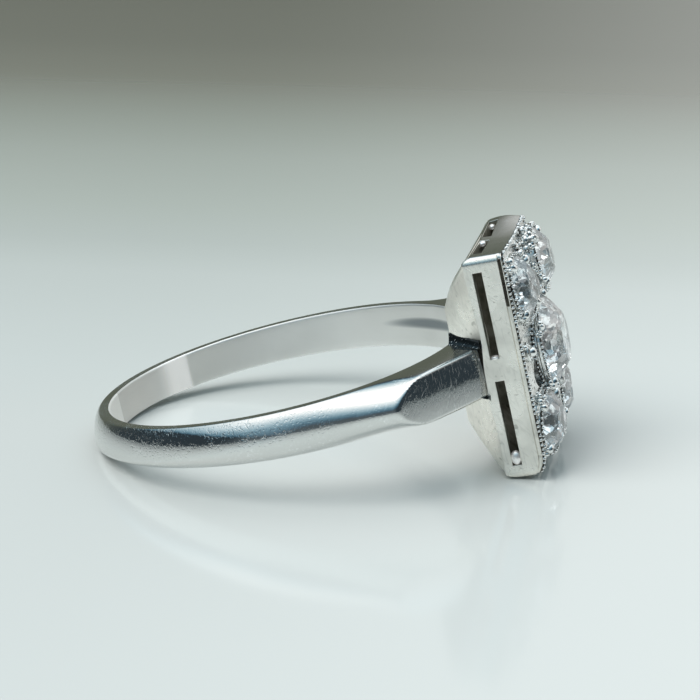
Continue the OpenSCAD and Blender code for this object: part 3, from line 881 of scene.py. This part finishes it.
def plateHeight(y, z):
    # the domed plate, with a low ridge that runs up to the middle stone at both ends
    w, l = head["halfWidth"] - plate["rimWidth"], head["halfLength"] - plate["rimWidth"]
    share = min((w - abs(y)) / (w - plate["roofY"]), (l - abs(z)) / (l - plate["roofZ"]))
    height = plate["dome"] * clamp(share) - wornEnd(z)
    across = abs(y + plate["ridgeAside"] * (1 if z > 0 else -1)) / plate["ridgeHalf"]
    if abs(z) > plate["ridgeFrom"]:
        flank = clamp((plate["ridgeFoot"] - across) / plate["ridgeEase"])
        height += plate["ridgeUp"] * flank * clamp((l - abs(z)) / plate["ridgeEnd"])
    # round each stone the plate runs up to its collet
    lean = radians(stones["lean"])
    inner = min(w - abs(y), l - abs(z))
    for name, (across, along, lift, radius, leanAcross, leanAlong) in stones["rows"].items():
        away = hypot(y - across, z - along) - radius - colletWall(name)
        top = lift - leanAcross * tan(lean) * (y - across) - leanAlong * tan(lean / 2) * (z - along)
        drop = plate["skirtDrop"] + plate["lowSkirt"] * (name == "upper_far_stone")
        skirt = top - drop - plate["skirtSlope"] * max(away, 0)
        height = max(height, skirt * clamp(inner / plate["border"]) - wornEnd(z))
    return height


def buildPlate():
    mesh = bmesh.new()
    w, l = head["halfWidth"] - plate["rimWidth"], head["halfLength"] - plate["rimWidth"]
    across, along = round(2 * w / plate["grid"]), round(2 * l / plate["grid"])
    top = []
    for i in range(across + 1):
        y = -w + 2 * w * i / across
        row = [(y, -l + 2 * l * j / along) for j in range(along + 1)]
        top.append([mesh.verts.new((head["rim"] + plateHeight(y, z), y, z)) for y, z in row])
    for i in range(across):
        for j in range(along):
            mesh.faces.new((top[i][j], top[i + 1][j], top[i + 1][j + 1], top[i][j + 1]))
    border = [top[i][0] for i in range(across)] + [top[across][j] for j in range(along)]
    border += [top[across - i][along] for i in range(across)] + [top[0][along - j] for j in range(along)]
    floor = head["rim"] - plate["thickness"]
    rim = [mesh.verts.new((floor, v.co.y, v.co.z)) for v in border]
    for i in range(len(border)):
        j = (i + 1) % len(border)
        mesh.faces.new((border[i], rim[i], rim[j], border[j]))
    mesh.faces.new(rim)
    mendNormals(mesh)
    return mesh


def addLathe(mesh, profile, place, segments, closed=True, dark=()):
    # spins (radius, height) points round z; the stretches in dark take the second look
    loops = [[mesh.verts.new(place @ Vector((r * c, r * s, h))) for r, h in profile]
             for c, s in circle(segments)]
    for first, second in zip(loops, loops[1:] + loops[:1]):
        for i in range(len(profile) if closed else len(profile) - 1):
            j = (i + 1) % len(profile)
            addFace(mesh, int(i in dark), first[i], first[j], second[j], second[i])
    if not closed:
        mesh.faces.new([loop[0] for loop in loops])
        mesh.faces.new([loop[-1] for loop in reversed(loops)])


def addPrism(mesh, outline):
    # a cutter that runs right through the plate
    low = head["rim"] - plate["thickness"] - plate["cutBelow"]
    high = head["rim"] + plate["cutAbove"]
    bridgeLoops(mesh, [[mesh.verts.new((x, y, z)) for y, z in outline] for x in (low, high)], False)


def buildCutters():
    mesh = bmesh.new()
    for name in stones["rows"]:
        radius = stones["rows"][name][3]
        seat, hole = radius + collet["seatPlay"], collet["seatHole"] * radius
        deep = stones["pavilion"] * radius
        lowest, low = collet["seatDepths"]
        profile = [(hole, -deep * lowest), (hole, -low * deep), (seat, -collet["seatGirdle"] * radius)]
        profile += [(seat, height) for height in collet["seatHeights"]]
        addLathe(mesh, profile, atStone(name), collet["seatSides"], False)
    inside, steps, tip = plate["crescentRadius"], plate["crescentSteps"], plate["crescentTip"]
    for signY, signZ in quarters:
        start, end, width = plate["slim"] if signZ > 0 else plate["crescent"]
        turns = [(k / steps, radians(start + (end - start) * k / steps)) for k in range(steps + 1)]
        outline = [(inside * cos(a), inside * sin(a)) for k, a in turns]
        for k, a in reversed(turns):
            reach = inside + plate["crescentGap"] + width * sin(pi * (tip + (1 - 2 * tip) * k))
            outline.append((reach * cos(a), reach * sin(a)))
        addPrism(mesh, [(y * signY, z * signZ) for y, z in outline])
    half = plate["slotWidth"] / 2
    for sign in (-1, 1):
        for across, along, length in plate["slots"]:
            outline = []
            for turn in range(0, 360, plate["slotTurn"]):
                end = (length / 2 - half) * (1 if turn < 180 else -1) + half * sin(radians(turn))
                outline.append(((across + half * cos(radians(turn))) * sign, (along + end) * sign))
            addPrism(mesh, outline)
    mendNormals(mesh)
    return mesh


def cutOut(mesh, cutter):
    # takes one closed mesh out of another
    objects = [addMesh("cutting", part) for part in (mesh, cutter)]
    boolean = objects[0].modifiers.new("cut", "BOOLEAN")
    boolean.operation = "DIFFERENCE"
    boolean.solver = "EXACT"
    boolean.use_self = True
    boolean.object = objects[1]
    bpy.context.view_layer.update()
    result = bmesh.new()
    result.from_mesh(objects[0].evaluated_get(bpy.context.evaluated_depsgraph_get()).to_mesh())
    for item in objects:
        bpy.data.objects.remove(item)
    return result


def buildFront():
    mesh = cutOut(buildPlate(), buildCutters())
    lip, up = collet["lip"], collet["innerUp"]
    easeIn, easeOut, easeDown = collet["ease"]
    (leanTop, topDown), leanFoot = collet["lowWall"]
    for name in stones["rows"]:
        lift, radius = stones["rows"][name][2:4]
        deep = collet["deep"] + lift
        hole, inside, outside = collet["hole"] * radius, radius + collet["play"], radius + colletWall(name)
        profile = [(hole, -deep), (hole, -collet["slope"] * radius), (inside, -collet["girdle"] * radius),
                   (inside, up), (inside + easeIn, lip), (outside - easeOut, lip), (outside, -easeDown)]
        dark = ()
        if name == "centre_stone":
            neck = hole + collet["neck"]
            profile += [(outside, -collet["neckTop"]), (neck, -collet["neckShare"] * deep), (neck, -deep)]
            dark = (7, 8)
        else:
            profile += [(outside + leanTop, -topDown), (outside + leanFoot, -deep)]
        addLathe(mesh, profile, atStone(name), collet["sides"], dark=dark)
    return finishPiece("front_plate", mesh, ["plate", "inside"], sharpAngle=35)


grains = dict(
    size=0.088, pitch=0.2, jitter=0.022, baseSize=0.9, rimSize=0.1, rimPitch=0.215, rimJitter=0.01, seed=7,
    sizes=(0.78, 1.18),
    # the rim's row: how far it stands in, how much more at the lower end, and how high
    rimIn=0.04, lowRimIn=0.15, rimUp=0.015,
    # the rows round a collet: at a share of its wall, and out on the plate within these limits
    colletShare=0.62, baseOut=0.14, baseWithin=(3.3, 4.6), up=0.01, ringPoints=48,
    # the rows beside the ridges: z at both ends, count of points, share of the ridge's half width, height
    ridgeEnds=(4.8, 2.5), ridgePoints=12, ridgeShare=0.95, ridgeUp=0.02,
    # the ground under a row: radius as a share of the grains', and its section
    ground=0.62, groundShape=((1, 0.4), (-1, 0.4), (-1, -1), (1, -1)))


def addGrain(mesh, place, size, stretch=(1, 1, 1), detail=1, look=0):
    matrix = place @ Matrix.Diagonal((*stretch, 1))
    made = bmesh.ops.create_icosphere(mesh, subdivisions=detail, radius=size, matrix=matrix)
    for face in {face for vert in made["verts"] for face in vert.link_faces}:
        face.material_index = look


def addGround(mesh, path, radius, closed):
    # painted shade: a thin, nearly black square tube along its path, as the bottom of the groove that a row
    # of grains stands in
    loops = []
    for i, point in enumerate(path):
        last = path[i - 1] if closed or i else path[0]
        following = path[(i + 1) % len(path)] if closed or i < len(path) - 1 else path[-1]
        ahead = (following - last).normalized()
        aside = ahead.cross(Vector((1, 0, 0))).normalized()
        outward = aside.cross(ahead)
        loops.append([mesh.verts.new(point + (aside * a + outward * b) * radius)
                      for a, b in grains["groundShape"]])
    before = len(mesh.faces)
    bridgeLoops(mesh, loops, closed)
    mesh.faces.ensure_lookup_table()
    for face in mesh.faces[before:]:
        face.material_index = 1


def rowOfGrains(mesh, path, size, pitch, vary, jitter=grains["jitter"], closed=True):
    # grains at an even pitch along a path of points, each a little off its place
    addGround(mesh, path, size * grains["ground"], closed)
    points = path + (path[:1] if closed else [])
    length = sum((b - a).length for a, b in zip(points, points[1:]))
    step = length / max(1, round(length / pitch))
    travelled, target = 0.0, 0.0
    for a, b in zip(points, points[1:]):
        span = (b - a).length
        while target <= travelled + span + 1e-9 and span > 0:
            spot = a.lerp(b, (target - travelled) / span)
            off = Vector([vary(-jitter, jitter) for axis in range(3)])
            addGrain(mesh, Matrix.Translation(spot + off), size * vary(*grains["sizes"]))
            target += step
        travelled += span


def ringRound(name, radius, height):
    # points round a stone
    return [atStone(name) @ Vector((radius * c, radius * s, height)) for c, s in circle(grains["ringPoints"])]


def onPlate(y, z, up):
    return Vector((head["rim"] + plateHeight(y, z) + up, y, z))


def buildMilgrain():
    vary = random.Random(grains["seed"]).uniform
    mesh = bmesh.new()
    size, pitch = grains["size"], grains["pitch"]
    rim = []
    for y, z, outY, outZ in wallStations():
        bow = head["bow"] * (1 - (y / head["halfWidth"]) ** 2) * outZ ** 2
        draw = grains["rimIn"] + (grains["lowRimIn"] if outZ < -0.5 else 0)
        x = head["rim"] + grains["rimUp"] - wornEnd(z)
        rim.append(Vector((x, y - outY * draw, z - outZ * (draw + bow))))
    rowOfGrains(mesh, rim, grains["rimSize"], grains["rimPitch"], vary, grains["rimJitter"])
    widest, longest = grains["baseWithin"]
    for name in stones["rows"]:
        radius, wall = stones["rows"][name][3], colletWall(name)
        ring = ringRound(name, radius + wall * grains["colletShare"], collet["lip"] + grains["up"])
        rowOfGrains(mesh, ring, size, pitch, vary)
        base = ringRound(name, radius + wall + grains["baseOut"], 0)
        base = [onPlate(point.y, point.z, grains["up"]) for point in base]
        run = []
        for point in base + [None]:
            if point and abs(point.y) < widest and abs(point.z) < longest:
                run.append(point)
                continue
            if len(run) > 2:
                rowOfGrains(mesh, run, size * grains["baseSize"], pitch, vary, closed=False)
            run = []
    start, stop = grains["ridgeEnds"]
    parts = grains["ridgePoints"] - 1
    for side, end in quarters:
        y = side * plate["ridgeHalf"] * grains["ridgeShare"] - end * plate["ridgeAside"]
        places = [end * (start - (start - stop) * k / parts) for k in range(parts + 1)]
        line = [onPlate(y, z, grains["ridgeUp"]) for z in places]
        rowOfGrains(mesh, line, size, pitch, vary, closed=False)
    return finishPiece("milgrain", mesh, ["grains", "creviceShade"], sharpAngle=180)


beads = dict(
    prong=0.22, prongUp=0.11, prongStretch=(1.15, 0.85, 0.9), prongTurn=4, prongSizes=(0.85, 1.1),
    # a small bead: way out, way up, size, and stretch in three ways
    small=0.145, smallEach=7,
    smallVary=((0.05, 0.3), (-0.12, 0.1), (0.6, 1.15), (0.8, 1.2), (0.8, 1.2), (0.8, 1.3)),
    # a bead of the carving: angle, way out, way up, size and stretch
    carved=70, carvedVary=((185, 325), (0.06, 0.34), (-0.42, 0.02), (0.4, 0.95), (0.8, 1.5)),
    # angles at which the prongs stand, and how far round from them the small beads spread
    middleAngles=(15, 70, 112, 160, 240, 319), middleSpread=11,
    cornerAngles=(45, 135, 225, 315), cornerSpread=19,
    # a bead in a ring, and a smaller one, at each long side: how far in, z, and (x, out, along, radius)
    sideIn=0.75, sideZ=0.38, sideBeads=((0.3, 0, 0, 0.25), (0.1, 0.3, 0.32, 0.13)),
    ringRadius=0.4, ringUp=0.2, ringWire=0.07, ringSides=10, ringSegments=40)


def buildBeads():
    vary = random.Random(grains["seed"] + 1).uniform
    mesh = bmesh.new()

    def around(name, angle, out, up, size, stretch):
        radius = stones["rows"][name][3]
        turn = Matrix.Rotation(radians(angle), 4, "Z")
        addGrain(mesh, atStone(name) @ turn @ shift(radius + out, 0, up), size, stretch, 3)

    for name in stones["rows"]:
        kind = "middle" if name == "centre_stone" else "corner"
        for angle in beads[kind + "Angles"]:
            turn = angle + vary(-beads["prongTurn"], beads["prongTurn"])
            size = beads["prong"] * vary(*beads["prongSizes"])
            around(name, turn, 0.0, beads["prongUp"], size, beads["prongStretch"])
            for k in range(beads["smallEach"]):
                side = vary(-1, 1) * beads[kind + "Spread"]
                out, up, share, *stretch = [vary(*limits) for limits in beads["smallVary"]]
                around(name, angle + side, out, up, beads["small"] * share, stretch)
    # carving on the near flank of the upper far stone's collet
    for k in range(beads["carved"]):
        turn, out, up, share, long = [vary(*limits) for limits in beads["carvedVary"]]
        around("upper_far_stone", turn, out, up, beads["small"] * share, (1, long, 1))
    for side in (-1, 1):
        y, z = side * (head["halfWidth"] - beads["sideIn"]), beads["sideZ"]
        for x, out, along, size in beads["sideBeads"]:
            addGrain(mesh, shift(head["rim"] + x, y + side * out, z + along), size, (1, 1, 1), 3)
        wire = beads["ringWire"]
        out, up = beads["ringRadius"], beads["ringUp"]
        profile = [(out + wire * c, up + wire * s) for c, s in circle(beads["ringSides"])]
        place = shift(head["rim"], y, z) @ Matrix.Rotation(pi / 2, 4, "Y")
        addLathe(mesh, profile, place, beads["ringSegments"])
    return finishPiece("beads_and_prongs", mesh, ["grains", "creviceShade"], sharpAngle=180)


for build in (buildShank, buildWalls, buildGallery, buildSolder, buildFront, buildMilgrain, buildBeads):
    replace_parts(build(), "shank_and_setting")
for index, name in enumerate(stones["rows"]):
    buildStone(name, stones["turnEach"] * index)
print("ring built")


studio = dict(
    floorSize=2.4, floorGloss=0.12, floorIndex=1.45, floorReach=0.15, lowest=0.02,
    # the floor's shade at distances behind the ring, in metres
    floorShades=[(0.0, (0.56, 0.59, 0.575)), (0.01, (0.545, 0.583, 0.57)), (0.03, (0.506, 0.543, 0.525)),
                 (0.038, (0.451, 0.488, 0.466)), (0.048, (0.415, 0.452, 0.419)),
                 (0.066, (0.359, 0.39, 0.356)), (0.08, (0.295, 0.319, 0.283)), (0.10, (0.20, 0.202, 0.172)),
                 (0.12, (0.163, 0.164, 0.14)), (0.15, (0.15, 0.15, 0.128))],
    keyPower=9.6, keySize=0.85, keyDistance=1.0, keyFrom=(-0.46, -0.39, 0.80), keyColour=(0.965, 0.94, 0.922),
    # the softbox: what it covers across at a height of one, how it rises from the near side, where it ends
    boxX=(-1.7, -0.4, 0.0, 1.45), boxTurn=20.0, boxNear=(-0.95, -0.17), boxFar=(0.7, 1.7), boxStrength=1.5,
    boxTint=(1.35, 1.0, 0.85),
    fillFrom=(0.497, 0.709, 0.5), fillEdge=(0.64, 0.88), fillColour=(0.80, 0.82, 0.81, 1),
    roomColour=(0.034, 0.048, 0.058, 1), nearColour=(0.10, 0.125, 0.14, 1), nearEdge=(-1.0, -0.8),
    backColour=(0.125, 0.140, 0.112, 1), backEdge=(0.3, 0.85), backTop=(0.22, 0.5))
camera = dict(turn=10.728, rise=16.194, distance=110.0, aside=2.778, up=1.492, lens=119.4, sensor=36.0,
              clip=(0.001, 20.0))


def buildFloor():
    mesh = bmesh.new()
    bmesh.ops.create_grid(mesh, x_segments=1, y_segments=1, size=studio["floorSize"] / 2)
    floor = addMesh("floor", mesh)
    paint = Paint(bpy.data.materials.new("paleFloor"))
    y = paint.split(paint.place())[1]
    # the floor falls off into shade towards the back
    reach = studio["floorReach"]
    shade = paint.ramp(y / reach, [(at / reach, colour) for at, colour in studio["floorShades"]])
    look = {"Base Color": shade, "Roughness": studio["floorGloss"], "IOR": studio["floorIndex"]}
    floor.data.materials.append(paint.surface(look))


def buildWorld():
    # a softbox overhead and dim surroundings, painted by direction alone
    paint = Paint(bpy.data.worlds.new("studio"))
    bpy.context.scene.world = paint.owner
    direction = paint.node("TexCoord")[0]
    x, y, z = paint.split(direction)
    height = paint.node("Math", {"operation": "MAXIMUM"}, {0: z, 1: studio["lowest"]})[0]
    rise, full, fade, gone = studio["boxX"]
    box = paint.levels(x / height, rise, full) * paint.levels(x / height, fade, gone, 1.0, 0.0)
    turn = radians(studio["boxTurn"])
    box = box * paint.levels(y * cos(turn) - x * sin(turn), *studio["boxNear"])
    box = box * paint.levels(y / height, *studio["boxFar"], 1.0, 0.0)
    fill = paint.ease(paint.vector("DOT_PRODUCT", direction, studio["fillFrom"]), *studio["fillEdge"])
    back = paint.ease(y, *studio["backEdge"]) * paint.ease(z, *studio["backTop"], 1.0, 0.0)
    near = paint.ease(y, *studio["nearEdge"], 1.0, 0.0)
    colour = paint.mix(near, studio["roomColour"], studio["nearColour"])
    colour = paint.mix(back, colour, studio["backColour"])
    colour = paint.mix(fill, colour, studio["fillColour"])
    # where the box fades out its light turns from white to blue
    red, green, blue = studio["boxTint"]
    light = paint.node("CombineXYZ", None, {0: box ** red, 1: box ** green, 2: box ** blue})[0]
    light = paint.vector("SCALE", light, studio["boxStrength"])
    colour = paint.vector("ADD", paint.mix(box, colour, (0, 0, 0, 1)), light)
    shining = paint.node("Background", None, {"Color": colour, "Strength": 1.0})[0]
    paint.node("OutputWorld", None, {"Surface": shining})


def buildKey():
    light = bpy.data.lights.new("key", "AREA")
    light.shape = "DISK"
    light.size = studio["keySize"]
    light.energy = studio["keyPower"]
    light.color = studio["keyColour"]
    holder = addObject("key", light)
    toKey = Vector(studio["keyFrom"]).normalized()
    holder.location = toKey * studio["keyDistance"]
    holder.visible_glossy = False
    holder.rotation_euler = toKey.to_track_quat("Z", "Y").to_euler()


def buildCamera():
    data = bpy.data.cameras.new("camera")
    data.lens = camera["lens"]
    data.sensor_width = camera["sensor"]
    data.clip_start, data.clip_end = camera["clip"]
    eye = addObject("camera", data)
    turn, rise = radians(camera["turn"]), radians(camera["rise"])
    right = Vector((cos(turn), sin(turn), 0))
    ahead = Vector((-sin(turn) * cos(rise), cos(turn) * cos(rise), -sin(rise)))
    above = right.cross(ahead)
    place = right * camera["aside"] + above * camera["up"] - ahead * camera["distance"]
    rotation = Matrix((right, above, -ahead)).transposed().to_4x4()
    eye.matrix_world = Matrix.Translation(Vector(fingerHole["pos_m"]) + place * mm) @ rotation
    bpy.context.scene.camera = eye


buildFloor()
buildWorld()
buildKey()
buildCamera()
bpy.context.scene.view_settings.view_transform = "Standard"
print("studio built")
